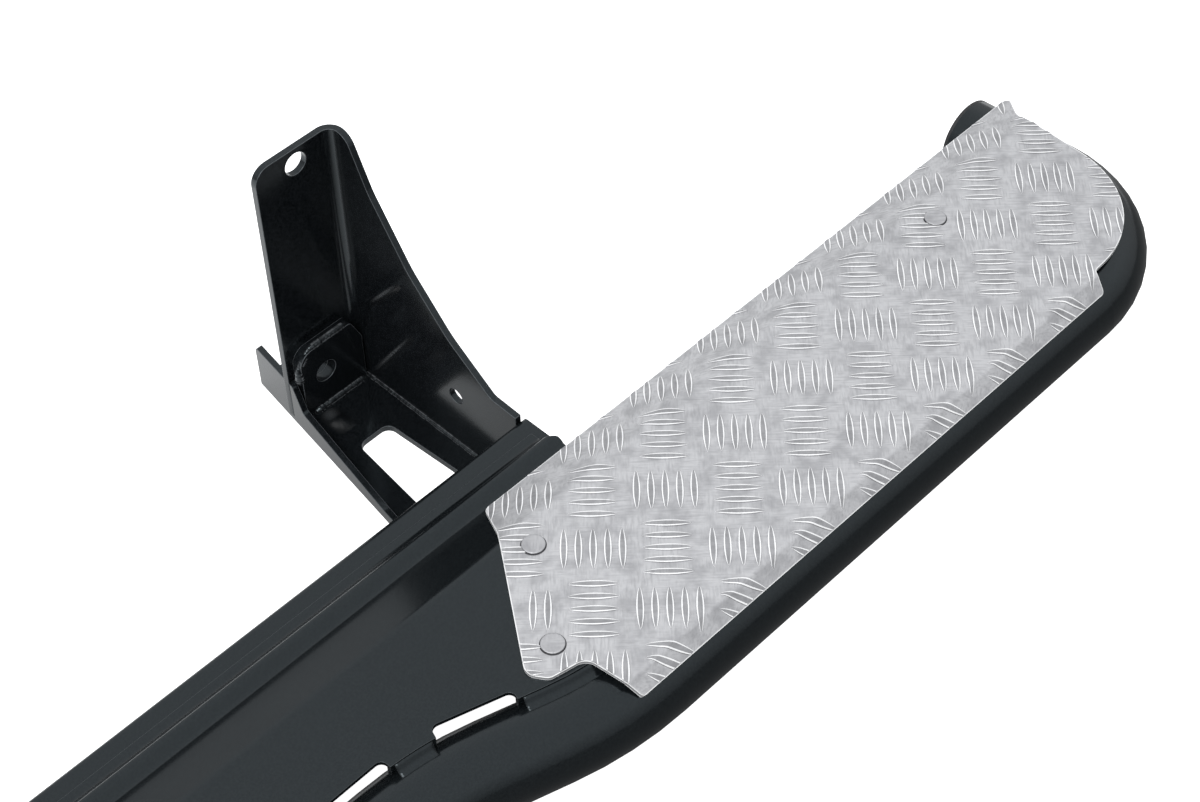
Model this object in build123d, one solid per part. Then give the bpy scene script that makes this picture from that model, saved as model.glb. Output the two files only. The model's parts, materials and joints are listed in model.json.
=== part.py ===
"""Left-hand running board for a pickup or off-road wagon, as separate bench parts.

Frame: millimetres, +X towards the vehicle's rear, +Y towards the vehicle, +Z up.
The origin is the centre of the middle bracket's upper bolt hole, on the face that
bolts to the vehicle's chassis rail.
"""

import math
import os

from build123d import *

# ---------------------------------------------------------------- brackets
# X, Y and Z of a bracket are measured from its own upper bolt hole.
BRACKET_SPACING = 470.0            # between two neighbouring brackets
BRACKET_SHEET = 4.0                # sheet thickness of the folded bracket
BRACKET_LEFT = -27.5               # free side of the upright
BRACKET_RIGHT = 25.0               # inner face of the side wall
BRACKET_TOP = 10.5
BRACKET_FOLD_R = 6.0               # inside radius of the upright's fold
CORNER_R = 10.0                    # rounded corners of the upright
BOLT_HOLE_R = 7.25                 # clearance for M12
DRAIN_HOLE = (-89.5, -141.0)       # paint drain in the side wall, Y and Z
DRAIN_HOLE_R = 5.5
ARM_TOP = -182.0
ARM_TAIL = 32.5                    # how far the arm runs on under the chassis rail
ARM_LEFT_TAIL = -22.0              # free side of the arm at its tail
ARM_TAPER = 0.146                  # widening per millimetre towards the deck
ARM_TAPER_LENGTH = 190.0
ARM_END = -200.0                   # under the deck
FLANGE_TOP = -154.0
DOUBLER_THICK = 7.0
DOUBLER_TOP = -131.5
DOUBLER_LEFT = -22.5
DOUBLER_RIGHT = 23.5
LOWER_HOLE = (-5.0, -155.0)        # lower bolt hole, X and Z
WELD_LEG = 3.5

# ---------------------------------------------------------------- side rail
RAIL_R = 24.0                      # 48 mm round tube
RAIL_WALL = 2.5
RAIL_Z = -135.0                    # height of the tube's axis
RAIL_MAIN_Y = -274.0               # axis of the long straight run
RAIL_FLARE_Y = -304.0              # axis of the kicked-out rear run
KICK_START_X = 306.0               # corners of the kick, before rounding
KICK_END_X = 399.0
KICK_R = 200.0
REAR_LEG_X = 865.5                 # axis of the leg that turns in at the rear
REAR_BEND_R = 76.0
LEG_END_Y = -163.5
REAR_LEG_DROP = 9.0                # the rear leg falls this much under the pad
FRONT_LEG_X = -800.0
FRONT_BEND_R = 90.0
CAP_RIM = 2.0
CAP_DEPTH = 10.0
CAP_CLEARANCE = 0.1

# ---------------------------------------------------------------- deck panel
DECK_TOP = -107.0                  # upper face of the flat tread area
DECK_SHEET = 2.5
DECK_EDGE = 12.3                   # panel edge, inboard of the rail's axis
SLOPE_START_Y = -203.5             # where the deck starts to fall towards the vehicle
VALLEY = (-172.0, -121.0)          # lowest line of the slope, Y and Z
RIDGE = (-164.5, -114.5)           # corner of the pressed ridge, before rounding
GROOVE = (-158.0, -122.0)          # foot of the ridge
PANEL_INNER_Y = -152.0
RIDGE_REAR_X = 494.0
SLOPE_REAR_X = 500.0               # the deck's slope runs on a little past the ridge
ANGLE_REAR_X = 501.0
RIDGE_FRONT_X = -770.0
DECK_INNER_Y = -176.5              # inner edge of the deck past the ridge's two ends
SLOPE_R = 10.0
SLOT_LENGTH = 45.0
SLOT_PITCH = 72.0
SLOT_DEPTH = 6.0                   # from the panel's edge
SLOT_CORNER_R = 4.0
KICK_SLOT = (338.5, -271.7, -18.0) # middle of the slot in the kick, X, Y and its turn
LAST_STRAIGHT_SLOT_X = 267.5       # middle of the first slot ahead of the kick
STRAIGHT_SLOTS = 13

# ---------------------------------------------------------------- inner angle
ANGLE_TOP = -124.5
ANGLE_INNER_Y = -138.5             # face towards the vehicle
ANGLE_OUTER_Y = -162.0
ANGLE_DROP = 34.0
ANGLE_SHEET = 3.0

# ---------------------------------------------------------------- tread pads
PAD_SHEET = 2.0
PAD_TOP = DECK_TOP + PAD_SHEET
PAD_FOLD_Y = -311.5                # fold of the rear pad's outer lip
PAD_LIP = 8.2                      # the lip's width and its drop
PAD_INNER_Y = -174.5
RIVET_HEAD_R = 7.0
RIVET_HEAD_H = 1.6
RIVET_SHANK_R = 2.4
RIVET_SHANK_L = 7.5
RIVET_CLEARANCE = 0.1
REAR_RIVETS = [(431.5, -217.5), (394.0, -269.0), (761.0, -216.5)]
FRONT_PAD_X = (-640.0, -210.0)
FRONT_PAD_OUTER_Y = -258.0
FRONT_RIVETS = [(x, y) for x in (-615.0, -235.0) for y in (-217.5, -247.0)]

BRACKETS = {"front": -BRACKET_SPACING, "middle": 0.0, "rear": BRACKET_SPACING}
TALL = 400.0                       # taller than anything that it cuts


# ---------------------------------------------------------------- helpers
def prism_x(points, x0, x1, radii=0.0):
    """A solid between x0 and x1 with the given outline in Y and Z."""
    if radii:
        outline = FilletPolyline(*points, radius=radii, close=True)
    else:
        outline = Polyline(*points, close=True)
    return Pos(x0, 0, 0) * extrude(Plane.YZ * make_face(outline), amount=x1 - x0)


def prism_z(points, z0, z1, radii):
    """A solid between z0 and z1 with the given outline in X and Y."""
    outline = FilletPolyline(*points, radius=radii, close=True)
    return Pos(0, 0, z0) * extrude(make_face(outline), amount=z1 - z0)


def upright_cylinder(x, y, z0, z1, radius):
    return Pos(x, y, (z0 + z1) / 2) * Cylinder(radius, z1 - z0)


def bolt_bore(x, z):
    """A cutter along Y for a bolt hole."""
    return Pos(x, 0, z) * Rot(90, 0, 0) * Cylinder(BOLT_HOLE_R, TALL)


def folded_sheet(points, radii, thick, x0, x1):
    """A folded sheet along X. The points are its upper line, in order of rising Y."""
    steps = [(b[0] - a[0], b[1] - a[1]) for a, b in zip(points, points[1:])]
    units = [(dy / math.hypot(dy, dz), dz / math.hypot(dy, dz)) for dy, dz in steps]
    first = (points[0][0] + units[0][1] * thick, points[0][1] - units[0][0] * thick)
    last = (points[-1][0] + units[-1][1] * thick, points[-1][1] - units[-1][0] * thick)
    lower = [first]
    lower_radii = []
    for point, before, after, radius in zip(points[1:-1], units, units[1:], radii):
        cross = before[0] * after[1] - before[1] * after[0]
        dot = before[0] * after[0] + before[1] * after[1]
        reach = thick / (1 + dot)
        lower.append((
            point[0] + (before[1] + after[1]) * reach,
            point[1] - (before[0] + after[0]) * reach,
        ))
        lower_radii.append(radius + math.copysign(thick, cross))
    lower.append(last)
    outline = points + lower[::-1]
    corner_radii = [0.0] + list(radii) + [0.0, 0.0] + lower_radii[::-1] + [0.0]
    face = make_face(FilletPolyline(*outline, radius=corner_radii, close=True))
    return Pos(x0, 0, 0) * extrude(Plane.YZ * face, amount=x1 - x0)


# ---------------------------------------------------------------- side rail
def rail_route():
    """The tube's axis, from the front leg's end to the rear leg's end."""
    return FilletPolyline(
        (FRONT_LEG_X, LEG_END_Y, RAIL_Z),
        (FRONT_LEG_X, RAIL_MAIN_Y, RAIL_Z),
        (KICK_START_X, RAIL_MAIN_Y, RAIL_Z),
        (KICK_END_X, RAIL_FLARE_Y, RAIL_Z),
        (REAR_LEG_X, RAIL_FLARE_Y, RAIL_Z),
        (REAR_LEG_X, LEG_END_Y, RAIL_Z - REAR_LEG_DROP),
        radius=[FRONT_BEND_R, KICK_R, KICK_R, REAR_BEND_R],
    )


def rail_rod(radius):
    """A solid round bar along the tube's axis."""
    route = rail_route()
    start = Plane(origin=route @ 0, z_dir=route % 0)
    return sweep(start * Circle(radius), path=route)


def make_rail():
    return rail_rod(RAIL_R) - rail_rod(RAIL_R - RAIL_WALL)


def make_cap(at_rear):
    """A plastic end plug: a rim over the tube's end and a spigot inside it."""
    route = rail_route()
    position = 1 if at_rear else 0
    outwards = (route % position) * (1 if at_rear else -1)
    end = Plane(origin=route @ position, z_dir=outwards)
    rim = extrude(end * Circle(RAIL_R), amount=CAP_RIM)
    spigot = extrude(end * Circle(RAIL_R - RAIL_WALL - CAP_CLEARANCE), amount=-CAP_DEPTH)
    hollow = extrude(end * Circle(RAIL_R - 2 * RAIL_WALL), amount=-CAP_DEPTH)
    return rim + (spigot - hollow)


# ---------------------------------------------------------------- deck panel
def deck_edge_route(inboard):
    """The rail's plan line moved towards the deck, as corner points and radii."""
    turn = math.atan2(RAIL_MAIN_Y - RAIL_FLARE_Y, KICK_END_X - KICK_START_X)
    slip = inboard * math.tan(turn / 2)
    points = [
        (FRONT_LEG_X + inboard, DECK_INNER_Y),
        (FRONT_LEG_X + inboard, RAIL_MAIN_Y + inboard),
        (KICK_START_X + slip, RAIL_MAIN_Y + inboard),
        (KICK_END_X + slip, RAIL_FLARE_Y + inboard),
        (REAR_LEG_X - inboard, RAIL_FLARE_Y + inboard),
        (REAR_LEG_X - inboard, DECK_INNER_Y),
    ]
    radii = [FRONT_BEND_R - inboard, KICK_R + inboard, KICK_R - inboard, REAR_BEND_R - inboard]
    return points, radii


def deck_plan(inboard):
    """The deck's plan outline, inboard of the rail by the given distance, as a tall solid."""
    points, radii = deck_edge_route(inboard)
    ridge_ends = [
        (SLOPE_REAR_X, DECK_INNER_Y),
        (SLOPE_REAR_X, RIDGE[0] - 3.0),
        (RIDGE_REAR_X, RIDGE[0] + 2.0),
        (RIDGE_REAR_X, PANEL_INNER_Y),
        (RIDGE_FRONT_X, PANEL_INNER_Y),
        (RIDGE_FRONT_X, DECK_INNER_Y),
    ]
    corner_radii = [0.0] + radii + [0.0, 3.0, 4.0, 3.0, 1.0, 5.0, 3.0]
    return prism_z(points + ridge_ends, RAIL_Z, 0.0, corner_radii)


def slot_cutters():
    """Drain slots, cut in from the panel's edge and closed by the rail."""
    width = 2 * SLOT_DEPTH
    slot = extrude(RectangleRounded(SLOT_LENGTH, width, SLOT_CORNER_R), amount=TALL, both=True)
    edge_y = RAIL_MAIN_Y + DECK_EDGE
    straight = [Pos(LAST_STRAIGHT_SLOT_X - i * SLOT_PITCH, edge_y, 0) * slot for i in range(STRAIGHT_SLOTS)]
    x, y, turn = KICK_SLOT
    return straight + [Pos(x, y, 0) * Rot(0, 0, turn) * slot]


def rivet_bores(places):
    return [upright_cylinder(x, y, -TALL / 2, 0.0, RIVET_SHANK_R + RIVET_CLEARANCE) for x, y in places]


def make_panel(rail_bar):
    upper_line = [
        (RAIL_FLARE_Y, DECK_TOP),
        (SLOPE_START_Y, DECK_TOP),
        VALLEY,
        RIDGE,
        GROOVE,
        (PANEL_INNER_Y, GROOVE[1]),
    ]
    section = folded_sheet(upper_line, [SLOPE_R, 3.0, 4.0, 3.0], DECK_SHEET, FRONT_LEG_X, REAR_LEG_X)
    panel = section & deck_plan(DECK_EDGE)
    flat_underside = DECK_TOP - DECK_SHEET
    skirt = deck_plan(DECK_EDGE) - deck_plan(DECK_EDGE + DECK_SHEET)
    reach = Pos(0, SLOPE_START_Y - 100.0, flat_underside - 10.0) * Box(4000.0, 200.0, 20.0)
    panel = panel + (skirt & reach) - rail_bar
    return panel - slot_cutters() - rivet_bores(REAR_RIVETS + FRONT_RIVETS)


def make_inner_angle():
    """A folded angle that carries the deck's inner edge."""
    upper_line = [
        (ANGLE_OUTER_Y, ANGLE_TOP),
        (ANGLE_INNER_Y, ANGLE_TOP),
        (ANGLE_INNER_Y, ANGLE_TOP - ANGLE_DROP),
    ]
    return folded_sheet(upper_line, [ANGLE_SHEET + 1.0], ANGLE_SHEET, RIDGE_FRONT_X, ANGLE_REAR_X)


# ---------------------------------------------------------------- tread pads
def pad_blank(outer_y, lip, x0, x1):
    """Tread plate folded over the slope, and over the rail where it has a lip."""
    fall = (DECK_TOP - VALLEY[1]) / (VALLEY[0] - SLOPE_START_Y)
    shift = PAD_SHEET * (math.hypot(1, fall) - 1) / fall
    fold_y = SLOPE_START_Y + shift
    points = [(outer_y, PAD_TOP), (fold_y, PAD_TOP)]
    radii = [SLOPE_R + PAD_SHEET]
    if lip:
        points = [(outer_y - lip, PAD_TOP - lip)] + points
        radii = [4.0] + radii
    points = points + [(PAD_INNER_Y, PAD_TOP - fall * (PAD_INNER_Y - fold_y))]
    return folded_sheet(points, radii, PAD_SHEET, x0, x1)


def make_rear_pad():
    """The flared pad: a slanted, lobed front end and a round rear end over the rail."""
    outer_y = PAD_FOLD_Y - PAD_LIP
    outline = [
        (437.0, PAD_INNER_Y),
        (426.0, -196.0),
        (371.5, -272.0),
        (378.5, -282.5),
        (399.5, -287.0),
        (402.5, -311.0),
        (406.5, outer_y),
        (786.5, outer_y),
        (790.0, -309.0),
        (861.5, -306.0),
        (866.5, -196.0),
        (886.5, PAD_INNER_Y),
    ]
    corner_radii = [5.0, 14.0, 8.0, 6.0, 8.0, 4.0, 3.0, 3.0, 4.0, 68.0, 20.0, 3.0]
    blank = pad_blank(PAD_FOLD_Y, PAD_LIP, 360.0, 900.0)
    pad = blank & prism_z(outline, RAIL_Z, 0.0, corner_radii)
    return pad - rivet_bores(REAR_RIVETS)


def make_front_pad():
    x0, x1 = FRONT_PAD_X
    outline = [(x0, FRONT_PAD_OUTER_Y), (x1, FRONT_PAD_OUTER_Y), (x1, PAD_INNER_Y), (x0, PAD_INNER_Y)]
    blank = pad_blank(FRONT_PAD_OUTER_Y, 0.0, x0, x1)
    pad = blank & prism_z(outline, RAIL_Z, 0.0, [12.0, 12.0, 6.0, 6.0])
    return pad - rivet_bores(FRONT_RIVETS)


def make_rivets(places):
    """Large-flange blind rivets, all alike."""
    rivets = []
    for x, y in places:
        head = upright_cylinder(x, y, PAD_TOP, PAD_TOP + RIVET_HEAD_H, RIVET_HEAD_R)
        crown = head.edges().filter_by(GeomType.CIRCLE).group_by(Axis.Z)[-1]
        head = fillet(crown, 1.0)
        rivets.append(head + upright_cylinder(x, y, PAD_TOP - RIVET_SHANK_L, PAD_TOP, RIVET_SHANK_R))
    return Compound(children=rivets)


# ---------------------------------------------------------------- brackets
def make_upright(rail_y):
    """Back plate and side wall, folded from one sheet. The wall runs on under the deck."""
    fold = BRACKET_FOLD_R
    outer_x = BRACKET_RIGHT + BRACKET_SHEET
    plan = [
        (BRACKET_LEFT, -BRACKET_SHEET),
        (BRACKET_RIGHT, -BRACKET_SHEET),
        (BRACKET_RIGHT, -TALL),
        (outer_x, -TALL),
        (outer_x, 0.0),
        (BRACKET_LEFT, 0.0),
    ]
    sheet_body = prism_z(plan, ARM_TOP, BRACKET_TOP, [0.0, fold, 0.0, 0.0, fold + BRACKET_SHEET, 0.0])
    deck_under = DECK_TOP - DECK_SHEET
    wall_end = rail_y + DECK_EDGE + DECK_SHEET + 0.5
    side_view = [
        (5.0, BRACKET_TOP),
        (-16.5, BRACKET_TOP),
        (-31.0, -23.0),
        (-57.5, -64.5),
        (-86.5, -96.5),
        (-119.0, -120.5),
        (ANGLE_INNER_Y, -121.5),
        (ANGLE_INNER_Y, ANGLE_TOP - ANGLE_DROP - 0.5),
        (ANGLE_INNER_Y - 5.0, ANGLE_TOP - ANGLE_DROP - 0.5),
        (ANGLE_INNER_Y - 5.0, ANGLE_TOP - ANGLE_SHEET - 0.5),
        (VALLEY[0], ANGLE_TOP - ANGLE_SHEET - 0.5),
        (SLOPE_START_Y, deck_under - 1.0),
        (wall_end, deck_under - 1.0),
        (wall_end, RAIL_Z - RAIL_R + 1.0),
        (-200.0, ARM_TOP),
        (5.0, ARM_TOP),
    ]
    soft = [0.0, 10.0, 40.0, 60.0, 60.0, 8.0] + [0.0] * 10
    side = prism_x(side_view, BRACKET_LEFT - 1.0, outer_x + 1.0, soft)
    body = (sheet_body & side) - bolt_bore(0.0, 0.0) - bolt_bore(*LOWER_HOLE)
    drain = Pos(outer_x, DRAIN_HOLE[0], DRAIN_HOLE[1]) * Rot(0, 90, 0) * Cylinder(DRAIN_HOLE_R, 20.0)
    square = Box(2 * CORNER_R, 40.0, 2 * CORNER_R)
    round_part = Pos(CORNER_R, 0, -CORNER_R) * Rot(90, 0, 0) * Cylinder(CORNER_R, 40.0)
    return body - drain - Pos(BRACKET_LEFT, 0, BRACKET_TOP) * (square - round_part)


def arm_left(y):
    """Free side of the arm, which widens towards the deck."""
    return ARM_LEFT_TAIL - (ARM_TAIL - y) * ARM_TAPER


def arm_free_side():
    """The free side in plan: tapered as far as the deck, then straight."""
    knee = ARM_TAIL - ARM_TAPER_LENGTH
    return [(arm_left(ARM_TAIL), ARM_TAIL), (arm_left(knee), knee), (arm_left(knee), ARM_END)]


def make_flange():
    """The upstand along the arm's free side, high at the chassis and under the deck."""
    bottom = ARM_TOP - BRACKET_SHEET
    side_view = [
        (ARM_TAIL, bottom),
        (ARM_TAIL, FLANGE_TOP),
        (-7.0, FLANGE_TOP),
        (-16.0, FLANGE_TOP - 16.0),
        (-97.0, ARM_TOP + 3.0),
        (ANGLE_INNER_Y - 8.0, ARM_TOP + 3.0),
        (ANGLE_INNER_Y - 12.0, -150.0),
        (VALLEY[0], -136.0),
        (ARM_END, -136.0),
        (ARM_END, bottom),
    ]
    outer = arm_free_side()
    inner = [(x + BRACKET_SHEET, y) for x, y in outer]
    strip = prism_z(outer + inner[::-1], bottom, 0.0, [0.0, 30.0, 0.0, 0.0, 26.0, 0.0])
    return strip & prism_x(side_view, -TALL, TALL, 3.0)


def arm_notch():
    """The room that the upright and the doubler leave for the arm's upstand."""
    return make_flange() + Pos(0.3, 0, 0.3) * make_flange()


def make_arm():
    """The arm's floor, with a window, and its upstand."""
    right = BRACKET_RIGHT + BRACKET_SHEET
    bottom = ARM_TOP - BRACKET_SHEET
    outline = arm_free_side() + [(right, ARM_END), (right, ARM_TAIL)]
    floor = prism_z(outline, bottom, ARM_TOP, [0.0, 30.0, 0.0, 0.0, 8.0])
    window = [(-16.5, -48.0), (-30.0, -175.0), (14.0, -175.0), (6.5, -48.0)]
    return floor + make_flange() - prism_z(window, bottom - 1.0, ARM_TOP + 1.0, 6.0)


def make_doubler():
    """A thick plate under the lower bolt, welded to the upright's back plate."""
    outline = [
        (DOUBLER_LEFT, ARM_TOP),
        (DOUBLER_LEFT, DOUBLER_TOP),
        (DOUBLER_RIGHT - 7.0, DOUBLER_TOP),
        (DOUBLER_RIGHT, DOUBLER_TOP - 16.0),
        (DOUBLER_RIGHT, ARM_TOP),
    ]
    face = make_face(FilletPolyline(*outline, radius=[0.0, 10.0, 3.0, 3.0, 0.0], close=True))
    plate = Pos(0, -BRACKET_SHEET, 0) * extrude(Plane.XZ * face, amount=DOUBLER_THICK)
    return plate - bolt_bore(*LOWER_HOLE)


def make_bracket_welds():
    """Weld fillets: doubler's top and free side to the upright, and its foot to the arm."""
    front = -BRACKET_SHEET
    face = front - DOUBLER_THICK
    leg = WELD_LEG
    top = [(front, DOUBLER_TOP), (front, DOUBLER_TOP + leg), (front - leg, DOUBLER_TOP)]
    foot = [(face, ARM_TOP), (face, ARM_TOP + leg), (face - leg, ARM_TOP)]
    side = [(DOUBLER_LEFT, front), (DOUBLER_LEFT - leg, front), (DOUBLER_LEFT, front - leg)]
    beads = [
        prism_x(top, DOUBLER_LEFT + 11.0, DOUBLER_RIGHT - 9.0),
        prism_x(foot, DOUBLER_LEFT + 3.0, DOUBLER_RIGHT - leg),
        prism_z(side, FLANGE_TOP + 1.0, DOUBLER_TOP - 11.0, 0.1),
    ]
    return Compound(children=beads)


# ---------------------------------------------------------------- all parts
def build_all():
    rail_bar = rail_rod(RAIL_R)
    parts = {
        "side_rail": make_rail(),
        "rail_cap_front": make_cap(False),
        "rail_cap_rear": make_cap(True),
        "step_panel": make_panel(rail_bar),
        "inner_angle": make_inner_angle(),
        "tread_pad_rear": make_rear_pad() - rail_bar,
        "tread_pad_front": make_front_pad(),
        "pad_rivets_rear": make_rivets(REAR_RIVETS),
        "pad_rivets_front": make_rivets(FRONT_RIVETS),
    }
    for name, x in BRACKETS.items():
        here = Pos(x, 0, 0)
        rail_y = RAIL_FLARE_Y if name == "rear" else RAIL_MAIN_Y
        upright = make_upright(rail_y) - arm_notch()
        parts[f"bracket_upright_{name}"] = here * upright - rail_bar
        parts[f"bracket_arm_{name}"] = here * make_arm()
        parts[f"bracket_doubler_{name}"] = here * (make_doubler() - upright - arm_notch())
        parts[f"bracket_welds_{name}"] = here * make_bracket_welds()
    return parts


os.makedirs("parts", exist_ok=True)
for node, shape in build_all().items():
    export_step(shape, f"parts/{node}.step")
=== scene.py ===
"""Looks of the running board: tread bars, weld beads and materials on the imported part."""
import json
import math
import random

import bpy
from mathutils import Matrix, Quaternion, Vector
from mathutils.bvhtree import BVHTree


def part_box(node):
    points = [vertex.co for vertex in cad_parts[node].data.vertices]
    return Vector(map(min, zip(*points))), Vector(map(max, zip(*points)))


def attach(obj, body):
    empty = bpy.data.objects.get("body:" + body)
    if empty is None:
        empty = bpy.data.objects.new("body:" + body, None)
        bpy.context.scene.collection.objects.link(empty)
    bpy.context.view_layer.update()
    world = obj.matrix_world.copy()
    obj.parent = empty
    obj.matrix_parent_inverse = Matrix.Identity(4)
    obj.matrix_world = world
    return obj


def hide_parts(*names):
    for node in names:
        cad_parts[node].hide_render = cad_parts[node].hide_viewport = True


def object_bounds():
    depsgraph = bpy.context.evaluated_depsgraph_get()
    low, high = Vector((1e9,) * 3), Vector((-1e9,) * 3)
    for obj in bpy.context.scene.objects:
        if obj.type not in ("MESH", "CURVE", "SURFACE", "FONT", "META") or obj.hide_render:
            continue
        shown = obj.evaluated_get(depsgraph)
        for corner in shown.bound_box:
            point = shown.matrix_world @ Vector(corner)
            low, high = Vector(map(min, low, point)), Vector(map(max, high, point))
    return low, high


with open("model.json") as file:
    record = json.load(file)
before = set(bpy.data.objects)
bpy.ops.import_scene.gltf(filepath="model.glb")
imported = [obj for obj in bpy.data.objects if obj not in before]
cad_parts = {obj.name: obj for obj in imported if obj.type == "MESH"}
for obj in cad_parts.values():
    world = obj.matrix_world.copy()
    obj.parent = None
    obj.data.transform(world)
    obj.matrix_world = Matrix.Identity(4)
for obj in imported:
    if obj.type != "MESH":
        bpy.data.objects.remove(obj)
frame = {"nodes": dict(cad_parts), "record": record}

CAD_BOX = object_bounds()
NODES = frame["nodes"]
BRACKETS = ("front", "middle", "rear")
PADS = ("front", "rear")
MOUNTS = {mount["name"]: mount for mount in frame["record"]["mounts"]}
MM = 0.001
PATTERN_TURN = math.radians(-45.0)  # of the tread pattern to the board
PEEL_SCALE = 650.0                 # orange peel of the paint
PEEL_DEPTH = 0.25 * MM
PEEL_STRENGTH = 0.06


# ---------------------------------------------------------------- node helpers
def material(name):
    """A new node material with its principled shader."""
    made = bpy.data.materials.new(name)
    made.use_nodes = True
    return made, made.node_tree, made.node_tree.nodes["Principled BSDF"]


def noise(tree, scale, detail=2.0, stretch=(1.0, 1.0, 1.0), turn=0.0):
    """Noise in object space, in metres, with a stretch per axis and a turn about Z."""
    coords = tree.nodes.new("ShaderNodeTexCoord")
    mapping = tree.nodes.new("ShaderNodeMapping")
    mapping.inputs["Rotation"].default_value = (0.0, 0.0, -turn)
    squeeze = tree.nodes.new("ShaderNodeVectorMath")
    squeeze.operation = "MULTIPLY"
    squeeze.inputs[1].default_value = stretch
    texture = tree.nodes.new("ShaderNodeTexNoise")
    texture.inputs["Scale"].default_value = scale
    texture.inputs["Detail"].default_value = detail
    tree.links.new(coords.outputs["Object"], mapping.inputs["Vector"])
    tree.links.new(mapping.outputs["Vector"], squeeze.inputs[0])
    tree.links.new(squeeze.outputs["Vector"], texture.inputs["Vector"])
    return texture.outputs["Fac"]


def remap(tree, value, low, high, out_low, out_high):
    """A value's range from low to high, stretched to another range and clamped."""
    node = tree.nodes.new("ShaderNodeMapRange")
    node.inputs["From Min"].default_value = low
    node.inputs["From Max"].default_value = high
    node.inputs["To Min"].default_value = out_low
    node.inputs["To Max"].default_value = out_high
    tree.links.new(value, node.inputs["Value"])
    return node.outputs["Result"]


def mix(tree, factor, first, second):
    """A colour between two, each a socket or an RGB tuple."""
    node = tree.nodes.new("ShaderNodeMix")
    node.data_type = "RGBA"
    tree.links.new(factor, node.inputs["Factor"])
    for socket, value in ((node.inputs[6], first), (node.inputs[7], second)):
        if isinstance(value, tuple):
            socket.default_value = (*value, 1.0)
        else:
            tree.links.new(value, socket)
    return node.outputs[2]


def maths(tree, operation, first, second):
    """A maths node on two inputs, each a socket or a number."""
    node = tree.nodes.new("ShaderNodeMath")
    node.operation = operation
    for socket, value in zip(node.inputs, (first, second)):
        if isinstance(value, float):
            socket.default_value = value
        else:
            tree.links.new(value, socket)
    return node.outputs["Value"]


def lerp(tree, factor, first, second):
    """A value between two sockets."""
    node = tree.nodes.new("ShaderNodeMix")
    for socket, value in zip(node.inputs, (factor, None, first, second)):
        if value is not None:
            tree.links.new(value, socket)
    return node.outputs["Result"]


def bump(tree, shader, height, distance, strength, edge_radius=0.0):
    """Relief on the shader, and softly rounded edges if a radius is given."""
    node = tree.nodes.new("ShaderNodeBump")
    node.inputs["Distance"].default_value = distance
    node.inputs["Strength"].default_value = strength
    tree.links.new(height, node.inputs["Height"])
    if edge_radius:
        bevel = tree.nodes.new("ShaderNodeBevel")
        bevel.inputs["Radius"].default_value = edge_radius
        tree.links.new(bevel.outputs["Normal"], node.inputs["Normal"])
    tree.links.new(node.outputs["Normal"], shader.inputs["Normal"])


def edge_mask(tree, radius):
    """1 along sharp edges, 0 away from them."""
    bevel = tree.nodes.new("ShaderNodeBevel")
    bevel.samples = 8
    bevel.inputs["Radius"].default_value = radius
    geometry = tree.nodes.new("ShaderNodeNewGeometry")
    dot = tree.nodes.new("ShaderNodeVectorMath")
    dot.operation = "DOT_PRODUCT"
    tree.links.new(bevel.outputs["Normal"], dot.inputs[0])
    tree.links.new(geometry.outputs["Normal"], dot.inputs[1])
    return remap(tree, dot.outputs["Value"], 0.90, 0.995, 1.0, 0.0)


# ---------------------------------------------------------------- materials
def make_paint(name, dark, light, rough, grain, edge_radius, painted_highlight=0.058):
    """Satin powder coat: orange peel, fine mottling, rounded edges and a painted highlight that
    lightens the colour along sharp edges.
    """
    made, tree, shader = material(name)
    mottle = remap(tree, noise(tree, grain, 3.0), 0.35, 0.68, 0.0, 1.0)
    # Painted highlight: along sharp edges the base colour turns to a lighter tone, set by the last
    # argument.
    edge_highlight_tone = (0.95 * painted_highlight, 1.03 * painted_highlight, 1.10 * painted_highlight)
    highlighted_base = mix(tree, edge_mask(tree, edge_radius), mix(tree, mottle, dark, light), edge_highlight_tone)
    tree.links.new(highlighted_base, shader.inputs["Base Color"])
    gloss = remap(tree, noise(tree, 22.0, 4.0), 0.3, 0.7, rough - 0.03, rough + 0.03)
    tree.links.new(gloss, shader.inputs["Roughness"])
    shader.inputs["IOR"].default_value = 1.5
    shader.inputs["Specular Tint"].default_value = (0.82, 0.94, 1.0, 1.0)
    bump(tree, shader, noise(tree, PEEL_SCALE), PEEL_DEPTH, PEEL_STRENGTH, edge_radius)
    return made


def make_swell_paint():
    """Bracket paint with a painted highlight: lighter on the side of a swell that faces the vehicle,
    broken up by a fine noise.
    """
    made, tree, shader = material("bracket_swell_sheen")
    split = tree.nodes.new("ShaderNodeSeparateXYZ")
    geometry = tree.nodes.new("ShaderNodeNewGeometry")
    tree.links.new(geometry.outputs["Normal"], split.inputs["Vector"])
    # Painted highlight on faces whose normal points towards +Y.
    painted_highlight = remap(tree, split.outputs["Y"], 0.05, 0.42, 0.0, 1.0)
    grain = remap(tree, noise(tree, 1100.0, 3.0), 0.3, 0.7, 0.6, 1.0)
    highlight_amount = maths(tree, "MULTIPLY", painted_highlight, grain)
    tone = mix(tree, highlight_amount, (0.006, 0.007, 0.008), (0.075, 0.080, 0.084))
    tree.links.new(tone, shader.inputs["Base Color"])
    shader.inputs["Roughness"].default_value = 0.2
    bump(tree, shader, noise(tree, PEEL_SCALE), PEEL_DEPTH, PEEL_STRENGTH)
    return made


SCUFF_SCALE = 800.0
SCUFF_STRETCHES = ((0.10, 1.0, 1.0), (1.0, 0.14, 1.0))


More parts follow.
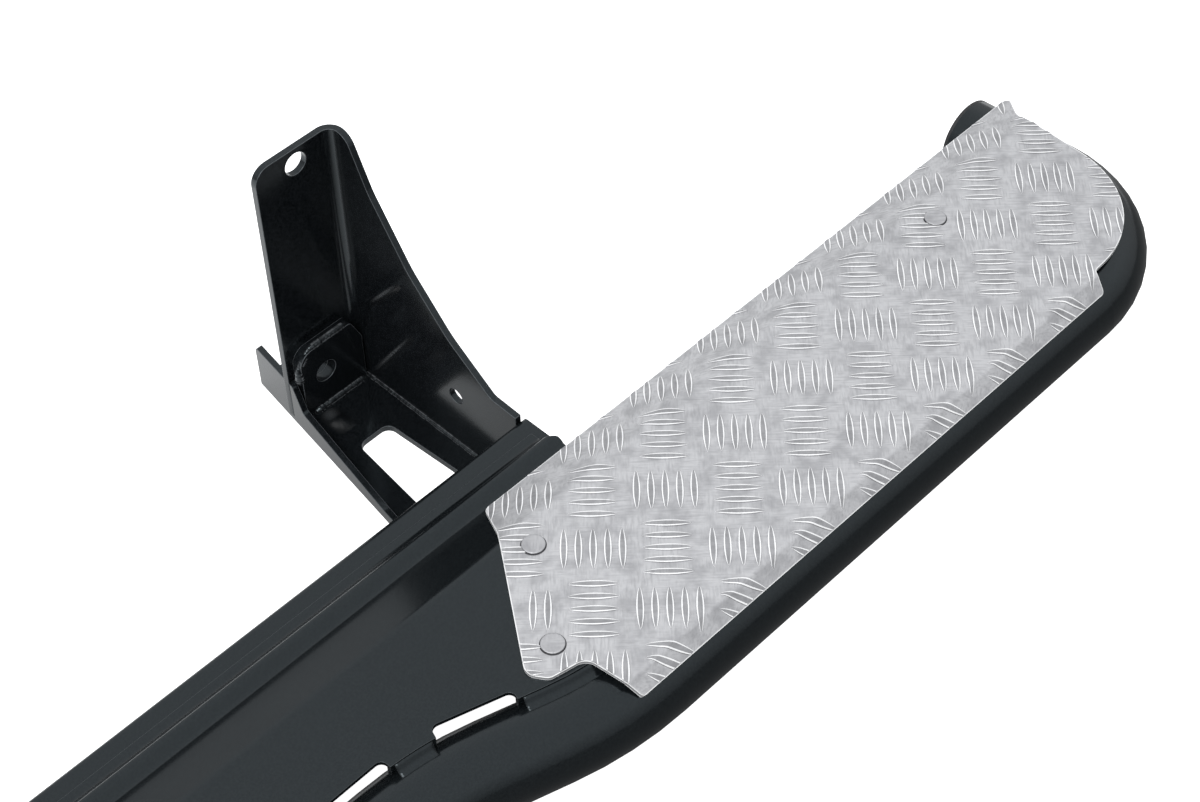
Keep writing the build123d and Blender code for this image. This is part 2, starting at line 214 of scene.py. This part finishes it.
def make_plate(name, dull, clean, edge_radius, metallic=0.55):
    """Mill-finish aluminium, scuffed in patches along and across the tread, with a painted
    highlight: near-white, non-metallic colour along sharp edges.
    """
    made, tree, shader = material(name)
    along, across = (
        remap(tree, noise(tree, SCUFF_SCALE, 6.0, stretch, PATTERN_TURN), 0.32, 0.56, 0.0, 1.0)
        for stretch in SCUFF_STRETCHES
    )
    patch = remap(tree, noise(tree, 75.0, 3.0), 0.42, 0.58, 0.0, 1.0)
    scuff = lerp(tree, patch, along, across)
    smudge = remap(tree, noise(tree, 110.0, 9.0), 0.32, 0.58, 0.35, 1.0)
    gloss = maths(tree, "MULTIPLY", remap(tree, scuff, 0.0, 1.0, 0.50, 1.0), smudge)
    base = mix(tree, gloss, dull, clean)
    if edge_radius:
        # Painted highlight: near-white and not metallic along sharp edges.
        edge_sheen_mask = edge_mask(tree, edge_radius)
        base = mix(tree, edge_sheen_mask, base, (0.98, 0.98, 0.98))
        tree.links.new(remap(tree, edge_sheen_mask, 0.0, 1.0, metallic, 0.0), shader.inputs["Metallic"])
    else:
        shader.inputs["Metallic"].default_value = metallic
    tree.links.new(base, shader.inputs["Base Color"])
    tree.links.new(remap(tree, scuff, 0.0, 1.0, 0.56, 0.44), shader.inputs["Roughness"])
    bump(tree, shader, scuff, 0.03 * MM, 0.25)
    return made


def make_cap_plastic():
    """Dull black plastic with a fine grain."""
    made, tree, shader = material("cap_plastic")
    grain = noise(tree, 700.0, 3.0)
    tone = mix(tree, grain, (0.012, 0.012, 0.013), (0.030, 0.030, 0.032))
    tree.links.new(tone, shader.inputs["Base Color"])
    tree.links.new(remap(tree, noise(tree, 60.0), 0.3, 0.7, 0.42, 0.55), shader.inputs["Roughness"])
    bump(tree, shader, grain, 0.2 * MM, 0.3, 0.6 * MM)
    return made


def make_floor_material():
    """Pale floor, white where the camera sees it. Painted light for the board: a glowing pool of
    light behind it and a floor painted dim in front.
    """
    made, tree, shader = material("floor")
    coords = tree.nodes.new("ShaderNodeTexCoord")
    split = tree.nodes.new("ShaderNodeSeparateXYZ")
    tree.links.new(coords.outputs["Object"], split.inputs["Vector"])
    pool = remap(tree, split.outputs["Y"], -0.25, 0.10, 0.0, 1.0)
    seen = tree.nodes.new("ShaderNodeLightPath").outputs["Is Camera Ray"]
    bright = maths(tree, "MAXIMUM", pool, seen)
    tone = remap(tree, noise(tree, 3.0), 0.3, 0.7, 0.0, 0.02)
    tree.links.new(
        mix(tree, maths(tree, "SUBTRACT", bright, tone), (0.16, 0.16, 0.16), (0.80, 0.80, 0.80)),
        shader.inputs["Base Color"],
    )
    shader.inputs["Roughness"].default_value = 0.9
    shader.inputs["Specular IOR Level"].default_value = 0.0
    shader.inputs["Emission Color"].default_value = (1.0, 1.0, 1.0, 1.0)
    glow = maths(tree, "MAXIMUM", maths(tree, "MULTIPLY", pool, 0.6), seen)
    tree.links.new(glow, shader.inputs["Emission Strength"])
    return made


BLACK_TONES = ((0.004, 0.005, 0.006), (0.009, 0.011, 0.012))
RAIL_PAINT = make_paint("rail_paint", *BLACK_TONES, 0.17, 900.0, 0.6 * MM)
DECK_PAINT = make_paint("deck_paint", *BLACK_TONES, 0.19, 900.0, 0.6 * MM)
# The last number is the tone of the bracket paint's painted edge highlight.
BRACKET_PAINT = make_paint(
    "bracket_paint", (0.001, 0.0015, 0.002), (0.012, 0.014, 0.016), 0.15, 1100.0, 0.8 * MM, 0.11
)
WELD_PAINT = make_paint(
    "weld_paint", (0.004, 0.005, 0.006), (0.022, 0.024, 0.026), 0.12, 500.0, 0.3 * MM
)
# Lighter paint for bead faces square to the axes: painted highlight lines along each bead.
WELD_HIGHLIGHT = make_paint(
    "weld_highlight", (0.040, 0.043, 0.046), (0.120, 0.127, 0.133), 0.15, 500.0, 0.3 * MM
)
SWELL_SHEEN_PAINT = make_swell_paint()
PLATE = make_plate("tread_plate", (0.36, 0.36, 0.375), (0.63, 0.63, 0.645), 1.4 * MM)
# The bars' top and steep sides are painted darker than the plate: painted shade.
BAR_SHADE = make_plate("tread_bar_shade", (0.27, 0.27, 0.28), (0.45, 0.45, 0.465), 0.0)
# Near-white paint on the bars' shoulders: painted highlight.
BAR_HIGHLIGHT = make_plate("tread_bar_highlight", (0.85, 0.85, 0.86), (0.99, 0.99, 0.99), 0.0, 0.0)
RIVET = make_plate("rivet_aluminium", (0.34, 0.34, 0.355), (0.54, 0.54, 0.555), 0.0)
# Near-black paint on the rivet heads' outer side: painted shade.
RIVET_SHADE = make_plate("rivet_shade", (0.020, 0.020, 0.022), (0.050, 0.050, 0.055), 0.0, 0.0)
CAP = make_cap_plastic()

NODE_MATERIALS = {
    "side_rail": RAIL_PAINT,
    "rail_cap": CAP,
    "step_panel": DECK_PAINT,
    "inner_angle": DECK_PAINT,
    "tread_pad": PLATE,
    "pad_rivets": RIVET,
    "bracket_upright": BRACKET_PAINT,
    "bracket_arm": BRACKET_PAINT,
    "bracket_doubler": BRACKET_PAINT,
    "bracket_welds": WELD_PAINT,
}
for node_name, cad_node in NODES.items():
    for family, family_paint in NODE_MATERIALS.items():
        if node_name.startswith(family):
            cad_node.data.materials.clear()
            cad_node.data.materials.append(family_paint)


# ---------------------------------------------------------------- mesh helpers
def new_piece(name, verts, faces, finish, smooth=True):
    """A mesh piece that rides the part's one body."""
    mesh = bpy.data.meshes.new(name)
    mesh.from_pydata([tuple(v) for v in verts], [], faces)
    mesh.validate()
    mesh.materials.append(finish)
    for face in mesh.polygons:
        face.use_smooth = smooth
    piece = bpy.data.objects.new(name, mesh)
    bpy.context.scene.collection.objects.link(piece)
    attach(piece, "root")
    return piece


def tree_of(node):
    """A ray-cast tree of a CAD node, in the row frame."""
    mesh = node.data
    points = [node.matrix_world @ vertex.co for vertex in mesh.vertices]
    return BVHTree.FromPolygons(points, [tuple(face.vertices) for face in mesh.polygons])


def add_grid(verts, faces, rows, closed=False):
    """Joins rows of equally many points with quads, as part of a bigger mesh."""
    start = len(verts)
    count = len(rows[0])
    for row in rows:
        verts.extend(row)
    for i in range(len(rows) - 1):
        for j in range(count if closed else count - 1):
            a = start + i * count + j
            b = start + i * count + (j + 1) % count
            faces.append((a, b, b + count, a + count))


# ---------------------------------------------------------------- tread pattern
PATTERN_PITCH = 38.5 * MM          # between two neighbouring groups of bars
PATTERN_ORIGIN = Vector((451.0, -241.5, 0.0)) * MM
BARS = 5
BAR_SPACINGS = (7.6 * MM, 7.9 * MM)  # in the two kinds of group
BAR_LENGTH = 27.0 * MM
BAR_WIDTH = 4.3 * MM
BAR_HEIGHT = 0.65 * MM
BAR_STEPS = 14
BAR_SECTION = (                    # across, as a part of the half width, and up, of the height
    (-1.0, -0.1), (-0.93, 0.80), (-0.60, 1.0), (0.60, 1.0), (0.93, 0.80), (1.0, -0.1),
)
BAR_HIGHLIGHT_STRIPS = (1, 3)            # the strips between the section's points that take the painted highlight
CUT_STEPS = 20                     # steps over half a bar in which its cut end is sought
CUT_HALVINGS = 5
CUT_LEAST = 4                      # steps on the pad in the shortest bar that is made
WHOLE_END = 0.98                   # an end past this part of the half length isn't cut
EDGE_MARGIN = 0.03                 # kept clear of the plate's edge, as a part of a bar's half length
PATTERN_MARGIN = 0.03              # groups this near to the pad's box are tried, in m
PATTERN_SPARE = 40                 # groups tried past the pad's length
RAY_START = 0.02                   # above the pad, in m


def bar_lines(centre, along, across, height_at):
    """The lines of one lens-shaped bar, each cut off where the plate ends."""
    places = [i / CUT_STEPS - 1 for i in range(2 * CUT_STEPS + 1)]
    lines = []
    for side, lift in BAR_SECTION:
        def plan(t):
            half_width = BAR_WIDTH / 2 * max(0.0, 1 - t * t) ** 0.75
            return centre + along * (t * BAR_LENGTH / 2) + across * (side * half_width)

        inside = [t for t in places if height_at(plan(t)) is not None]
        if len(inside) < CUT_LEAST:
            return None
        ends = []
        for end, out in ((inside[0], -1.0), (inside[-1], 1.0)):
            good, bad = end, max(-1.0, min(1.0, end + out / CUT_STEPS))
            for _ in range(CUT_HALVINGS):
                middle = (good + bad) / 2
                if height_at(plan(middle)) is None:
                    bad = middle
                else:
                    good = middle
            ends.append(good if abs(good) > WHOLE_END else good - out * EDGE_MARGIN)
        line = []
        for i in range(BAR_STEPS + 1):
            t = ends[0] + (ends[1] - ends[0]) * i / BAR_STEPS
            spot = plan(t)
            ground = height_at(spot)
            if ground is None:
                return None
            rise = lift * BAR_HEIGHT * (1 - t ** 6)
            line.append(Vector((spot.x, spot.y, ground + rise)))
        lines.append(line)
    return lines


def make_tread(end):
    """The raised bars of one pad, each group at right angles to its neighbours."""
    pad_tree = tree_of(NODES[f"tread_pad_{end}"])
    rivet_tree = tree_of(NODES[f"pad_rivets_{end}"])
    low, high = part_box(f"tread_pad_{end}")
    top = high[2]
    down = Vector((0, 0, -1))

    def height_at(spot):
        start = Vector((spot.x, spot.y, top + RAY_START))
        hit = pad_tree.ray_cast(start, down)[0]
        if hit is not None:
            return hit.z
        rivet = rivet_tree.ray_cast(start, down)[0]
        return top if rivet is not None else None

    def is_near(spot):
        return all(low[k] - PATTERN_MARGIN < spot[k] < high[k] + PATTERN_MARGIN for k in (0, 1))

    first = Vector((math.cos(PATTERN_TURN), math.sin(PATTERN_TURN), 0))
    second = Vector((-first.y, first.x, 0))
    verts = []
    faces = []
    reach = int((high[0] - low[0]) / PATTERN_PITCH) + PATTERN_SPARE
    for i in range(-reach, reach):
        for j in range(-reach, reach):
            middle = PATTERN_ORIGIN + first * (i * PATTERN_PITCH) + second * (j * PATTERN_PITCH)
            if not is_near(middle):
                continue
            turned = (i + j) % 2
            along, across = (first, second) if turned else (second, first)
            for k in range(BARS):
                centre = middle + across * ((k - (BARS - 1) / 2) * BAR_SPACINGS[turned])
                lines = bar_lines(centre, along, across, height_at)
                if lines:
                    add_grid(verts, faces, list(zip(*lines)))
    piece = new_piece(f"tread_bars_{end}", verts, faces, BAR_SHADE, False)
    piece.data.materials.append(BAR_HIGHLIGHT)
    # Shoulder strips take the painted highlight, the other strips the darker painted shade.
    strips = len(BAR_SECTION) - 1
    for face in piece.data.polygons:
        face.material_index = 1 if face.index % strips in BAR_HIGHLIGHT_STRIPS else 0


for pad_end in PADS:
    make_tread(pad_end)


# ---------------------------------------------------------------- rivets
RIVET_PROFILE = (                  # radius, and height over the pad's top, in mm
    (0.0, 1.10), (3.0, 1.12), (4.9, 1.22), (5.6, 1.30), (6.1, 1.20), (6.35, 0.95), (6.45, 0.35),
    (6.95, 0.12), (6.95, -0.05), (2.4, -0.05), (2.4, -7.3), (0.0, -7.3),
)
RIVET_SHADE_STRIPS = (5, 6)          # painted shade on the outer side of the rim, down to the pad
RIVET_SEGMENTS = 40
RIVET_HEAD_LIFT = 1.5 * MM         # points of the CAD node that lie higher belong to a head
RIVETS_APART = 20 * MM


def make_rivets(end):
    """Blind rivets with a flat head, a raised rim, painted shade on the rim's outer side and a
    shank.
    """
    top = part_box(f"tread_pad_{end}")[1][2]
    heads = []
    for vertex in NODES[f"pad_rivets_{end}"].data.vertices:
        point = vertex.co
        if point.z <= top + RIVET_HEAD_LIFT:
            continue
        near = [head for head in heads if (point.xy - head[0].xy).length <= RIVETS_APART]
        if near:
            near[0].append(point)
        else:
            heads.append([point])
    angles = [2 * math.pi * k / RIVET_SEGMENTS for k in range(RIVET_SEGMENTS)]
    verts = []
    faces = []
    for head in heads:
        x = (min(p.x for p in head) + max(p.x for p in head)) / 2
        y = (min(p.y for p in head) + max(p.y for p in head)) / 2
        rows = []
        for radius, height in RIVET_PROFILE:
            radius_m = max(radius, 0.01) * MM
            rows.append([
                Vector((x + radius_m * math.cos(a), y + radius_m * math.sin(a), top + height * MM))
                for a in angles
            ])
        add_grid(verts, faces, rows, True)
    faces = [face[::-1] for face in faces]
    piece = new_piece(f"rivet_heads_{end}", verts, faces, RIVET)
    piece.data.materials.append(RIVET_SHADE)
    strips = len(RIVET_PROFILE) - 1
    for face in piece.data.polygons:
        if face.index // RIVET_SEGMENTS % strips in RIVET_SHADE_STRIPS:
            face.material_index = 1
    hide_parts(f"pad_rivets_{end}")


for pad_end in PADS:
    make_rivets(pad_end)


# ---------------------------------------------------------------- weld beads
WALL_FACE_X = 25.0                 # inner face of a bracket's wall, from its upper bolt hole, in mm
BEAD_STEP = 0.55 * MM
BEAD_RIPPLE = 2.6 * MM             # from one ripple to the next
BEAD_RIPPLE_SIZE = 0.025           # as a part of the radius
BEAD_WANDER = 0.12                 # as a part of the radius
BEAD_CELL = 4 * MM                 # from one change of the wander to the next
BEAD_SEGMENTS = 20
WALL_BEAD_END = -0.125             # the Y where the bead under the wall ends, in m
HIGHLIGHT_NORMAL = 0.975                 # a face this square to the axes takes the bead's painted highlight


def add_bead(verts, faces, start, end, radius, seed):
    """A slightly uneven bead from start to end, round in section and tapered at both ends."""
    rng = random.Random(seed)
    direction = (end - start).normalized()
    length = (end - start).length
    helper = Vector((0, 0, 1)) if abs(direction.z) < 0.9 else Vector((1, 0, 0))
    u = direction.cross(helper).normalized()
    v = direction.cross(u)
    phase = rng.random() * 6.28
    drift = [rng.uniform(-BEAD_WANDER, BEAD_WANDER) for _ in range(int(length / BEAD_CELL) + 3)]
    count = max(6, int(length / BEAD_STEP))
    rows = []
    for i in range(count + 1):
        s = length * i / count
        cell, part = divmod(s / BEAD_CELL, 1)
        wander = drift[int(cell)] * (1 - part) + drift[int(cell) + 1] * part
        ripple = BEAD_RIPPLE_SIZE * math.sin(2 * math.pi * s / BEAD_RIPPLE + phase)
        taper = min(1.0, (min(s, length - s) / (1.6 * radius) + 0.15)) ** 0.5
        r = radius * (1 + ripple + wander) * taper
        middle = start + direction * s + u * (wander * radius * 0.5)
        rows.append([
            middle + (u * math.cos(a) + v * math.sin(a)) * r
            for a in (2 * math.pi * k / BEAD_SEGMENTS for k in range(BEAD_SEGMENTS))
        ])
    add_grid(verts, faces, rows, True)
    faces.append(tuple(range(len(verts) - BEAD_SEGMENTS, len(verts))))
    first = len(verts) - BEAD_SEGMENTS * (count + 1)
    faces.append(tuple(range(first + BEAD_SEGMENTS - 1, first - 1, -1)))


def make_bracket_beads(end, seed):
    """The beads that join a bracket's doubler, upright and arm."""
    at = Vector(MOUNTS[f"upper_bolt_{end}"]["pos_m"])
    low, high = (Vector(corner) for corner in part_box(f"bracket_doubler_{end}"))
    front = low.y
    lip = front + 2.2 * MM
    wall = at.x + WALL_FACE_X * MM
    corner = 9.0 * MM
    beads = (                      # start, end and radius in mm
        (Vector((low.x + corner - MM, lip, high.z)), Vector((high.x - corner, lip, high.z)), 2.1),
        (Vector((low.x, lip, high.z - corner - MM)), Vector((low.x + corner, lip, high.z)), 2.3),
        (Vector((low.x, lip, high.z - corner)), Vector((low.x, lip, high.z - 24 * MM)), 2.8),
        (Vector((low.x + 5 * MM, front, low.z)), Vector((high.x - MM, front, low.z)), 2.6),
        (Vector((wall, front + 3 * MM, low.z)), Vector((wall, WALL_BEAD_END, low.z)), 1.7),
    )
    verts = []
    faces = []
    for k, (start, stop, radius) in enumerate(beads):
        add_bead(verts, faces, start, stop, radius * MM, seed * 10 + k)
    piece = new_piece(f"bracket_beads_{end}", verts, faces, WELD_PAINT)
    piece.data.materials.append(WELD_HIGHLIGHT)
    # Faces square to the axes get the lighter paint of the painted highlight.
    for face in piece.data.polygons:
        if max(abs(part) for part in face.normal) > HIGHLIGHT_NORMAL:
            face.material_index = 1
    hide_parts(f"bracket_welds_{end}")


for number, bracket in enumerate(BRACKETS):
    make_bracket_beads(bracket, number)


# ---------------------------------------------------------------- swells in the brackets' sheet
SWELL_STEPS = 18
SWELL_SINK = 0.03                  # the rim lies this part of the height under the sheet
WALL_SWELLS = (                    # both ends, Y and Z in mm
    ((-21.5, -115.0), (-49.5, -80.0)),
    ((-17.5, -176.0), (-56.5, -117.0)),
)
WALL_SWELL_STRETCH = 1.15          # of the length, for the swell's faint ends
WALL_SWELL_WIDTH = 5.6 * MM
WALL_SWELL_HEIGHT = 1.2 * MM
FLOOR_SWELL = (-12.0, -25.0)       # X from the upper bolt hole, and Y, in mm
FLOOR_SWELL_HALF = (12.0 * MM, 8.0 * MM)
FLOOR_SWELL_HEIGHT = 2.4 * MM


def add_swell(verts, faces, middle, along, across, lift):
    """A soft low bump on a flat sheet, with its half axes and its height as vectors."""
    rows = []
    for i in range(SWELL_STEPS + 1):
        a = 2 * i / SWELL_STEPS - 1
        row = []
        for k in range(SWELL_STEPS + 1):
            b = 2 * k / SWELL_STEPS - 1
            rise = (math.cos(math.pi / 2 * a) * math.cos(math.pi / 2 * b)) ** 2 - SWELL_SINK
            row.append(middle + along * a + across * b + lift * rise)
        rows.append(row)
    add_grid(verts, faces, rows)


def make_swells(end):
    """Swells that the welding heat left in a bracket's wall and floor."""
    at = Vector(MOUNTS[f"upper_bolt_{end}"]["pos_m"])
    floor_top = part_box(f"bracket_doubler_{end}")[0][2]
    verts = []
    faces = []
    for (y0, z0), (y1, z1) in WALL_SWELLS:
        middle = Vector((at.x + WALL_FACE_X * MM, (y0 + y1) / 2 * MM, (z0 + z1) / 2 * MM))
        along = Vector((0, (y1 - y0) / 2, (z1 - z0) / 2)) * MM * WALL_SWELL_STRETCH
        across = Vector((1, 0, 0)).cross(along.normalized()) * (WALL_SWELL_WIDTH / 2)
        add_swell(verts, faces, middle, along, across, Vector((-WALL_SWELL_HEIGHT, 0, 0)))
    x, y = FLOOR_SWELL
    half_y, half_x = FLOOR_SWELL_HALF
    middle = Vector((at.x + x * MM, y * MM, floor_top))
    lift = Vector((0, 0, FLOOR_SWELL_HEIGHT))
    add_swell(verts, faces, middle, Vector((0, half_y, 0)), Vector((-half_x, 0, 0)), lift)
    new_piece(f"bracket_swells_{end}", verts, faces, SWELL_SHEEN_PAINT)


for bracket in BRACKETS:
    make_swells(bracket)


# ---------------------------------------------------------------- seam of deck and rail
SEAM_SECTION = (                   # distance inboard of the rail's axis, and height, in mm
    (12.6, -108.0), (12.1, -107.5), (11.5, -107.5), (10.6, -108.5), (9.7, -109.9),
    (8.6, -111.1), (7.2, -111.9), (5.8, -111.68), (5.8, -113.0), (12.6, -115.0),
)
SEAM_INNER_Y = -208.0 * MM         # the deck falls away from the seam's height past this line
SEAM_ROUGH = 0.035 * MM            # the most that chance moves a section sideways
SEAM_CALM = 0.9                    # the part of the last offset that a section keeps
SEAM_STEP = 1.5 * MM
SEAM_LEAST = 4                     # sections in the shortest run that is made
RAIL_CORNERS = (                   # the rail's axis in plan and the radius of each bend
    ((-800.0, -180.0), 0.0),
    ((-800.0, -274.0), 90.0),
    ((306.0, -274.0), 200.0),
    ((399.0, -304.0), 200.0),
    ((865.5, -304.0), 76.0),
    ((865.5, -180.0), 0.0),
)
SLOT_HALF = 23.5 * MM
KICK_SLOT_X = 338.5 * MM
LAST_STRAIGHT_SLOT_X = 267.5 * MM
SLOT_PITCH = 72.0 * MM
STRAIGHT_SLOTS = 13
SLOT_CENTRES = [LAST_STRAIGHT_SLOT_X - k * SLOT_PITCH for k in range(STRAIGHT_SLOTS)] + [KICK_SLOT_X]
SLOT_OUTER_Y = -0.25               # all slots lie outside this line, in m


def rail_plan():
    """Points along the rail's axis in plan, with rounded bends."""
    points = []
    for k, ((x, y), radius) in enumerate(RAIL_CORNERS):
        corner = Vector((x, y)) * MM
        if not radius:
            points.append(corner)
            continue
        back = (Vector(RAIL_CORNERS[k - 1][0]) * MM - corner).normalized()
        ahead = (Vector(RAIL_CORNERS[k + 1][0]) * MM - corner).normalized()
        half = back.angle(ahead) / 2
        centre = corner + (back + ahead).normalized() * (radius * MM / math.sin(half))
        start = corner + back * (radius * MM / math.tan(half))
        sweep = math.pi - 2 * half
        turn = math.copysign(1.0, (-back).cross(ahead))
        steps = max(4, int(sweep * radius / 4))
        for i in range(steps + 1):
            spoke = start - centre
            spoke.rotate(Matrix.Rotation(turn * sweep * i / steps, 2))
            points.append(centre + spoke)
    return points


def in_slot(x, y):
    """True over a drain slot, where there is no weld."""
    return y <= SLOT_OUTER_Y and any(abs(x - middle) < SLOT_HALF for middle in SLOT_CENTRES)


def add_seam_run(verts, faces, run):
    """One run of the seam, cut square at both ends."""
    rows = []
    for spot, side, wobble in run:
        row = []
        for inboard, height in SEAM_SECTION:
            place = spot + side * (inboard * MM + wobble)
            row.append(Vector((place.x, place.y, height * MM)))
        rows.append(row)
    add_grid(verts, faces, rows, True)
    count = len(SEAM_SECTION)
    first = len(verts) - count * len(rows)
    faces.append(tuple(range(len(verts) - count, len(verts))))
    faces.append(tuple(range(first + count - 1, first - 1, -1)))


def make_seam():
    """The weld that closes the corner of deck and rail, left out at the drain slots."""
    plan = rail_plan()
    rng = random.Random(7)
    wobble = 0.0
    runs = [[]]
    for a, b in zip(plan, plan[1:]):
        steps = max(1, int((b - a).length / SEAM_STEP))
        side = Vector((-(b - a).y, (b - a).x)).normalized()
        for i in range(steps):
            spot = a + (b - a) * i / steps
            line = spot + side * (SEAM_SECTION[0][0] * MM)
            if line.y > SEAM_INNER_Y or in_slot(line.x, line.y):
                runs.append([])
                continue
            wobble = SEAM_CALM * wobble + rng.uniform(-SEAM_ROUGH, SEAM_ROUGH)
            runs[-1].append((spot, side, wobble))
    verts = []
    faces = []
    for run in runs:
        if len(run) >= SEAM_LEAST:
            add_seam_run(verts, faces, run)
    piece = new_piece("deck_seam", verts, faces, DECK_PAINT)
    for face in piece.data.polygons:
        face.use_smooth = len(face.vertices) == 4


make_seam()


# ---------------------------------------------------------------- studio
FLOOR_HALF = 30.0                  # in m
FLOOR_GAP = 0.5 * MM               # under the lowest point of the board
KEY_PLACE = Vector((-1.2, -0.6, 2.2))
KEY_TARGET = Vector((0.3, -0.2, -0.1))
KEY_SIZE = 1.6
KEY_POWER = 45.0
CAMERA_PLACE = Vector((-0.0810, -0.7831, 0.8747))
CAMERA_VIEW = Vector((0.46562, 0.46754, -0.75140))
CAMERA_ROLL = math.radians(-1.25)


def make_floor():
    """The flat floor under the board."""
    z = CAD_BOX[0][2] - FLOOR_GAP
    corners = [(x * FLOOR_HALF, y * FLOOR_HALF, z) for x, y in ((-1, -1), (1, -1), (1, 1), (-1, 1))]
    mesh = bpy.data.meshes.new("floor")
    mesh.from_pydata(corners, [], [(0, 1, 2, 3)])
    mesh.materials.append(make_floor_material())
    made = bpy.data.objects.new("floor", mesh)
    bpy.context.scene.collection.objects.link(made)
    return made


def make_world():
    """A pale studio sky that brightens upwards."""
    world = bpy.data.worlds.new("studio")
    world.use_nodes = True
    tree = world.node_tree
    background = tree.nodes["Background"]
    background.inputs["Color"].default_value = (0.97, 0.985, 1.0, 1.0)
    coords = tree.nodes.new("ShaderNodeTexCoord")
    split = tree.nodes.new("ShaderNodeSeparateXYZ")
    tree.links.new(coords.outputs["Generated"], split.inputs["Vector"])
    glow = remap(tree, split.outputs["Z"], 0.05, 0.55, 0.42, 0.87)
    tree.links.new(glow, background.inputs["Strength"])
    bpy.context.scene.world = world


def aim(name, data, position, view, roll=0.0):
    """Puts a light or camera at a place, looking along a direction."""
    holder = bpy.data.objects.new(name, data)
    holder.location = position
    holder.rotation_mode = "QUATERNION"
    holder.rotation_quaternion = view.to_track_quat("-Z", "Y") @ Quaternion((0, 0, 1), roll)
    bpy.context.scene.collection.objects.link(holder)
    return holder


def make_key_light():
    """One large soft light over the front of the board."""
    light = bpy.data.lights.new("key", "AREA")
    light.shape = "RECTANGLE"
    light.size = KEY_SIZE
    light.size_y = KEY_SIZE
    light.energy = KEY_POWER
    aim("key", light, KEY_PLACE, KEY_TARGET - KEY_PLACE)


def make_camera():
    """A long lens above the board's outer side."""
    data = bpy.data.cameras.new("camera")
    data.sensor_width = 36.0
    data.lens = 72.0
    bpy.context.scene.camera = aim("camera", data, CAMERA_PLACE, CAMERA_VIEW, CAMERA_ROLL)


floor = make_floor()
make_world()
make_key_light()
make_camera()
bpy.context.scene.view_settings.view_transform = "Standard"
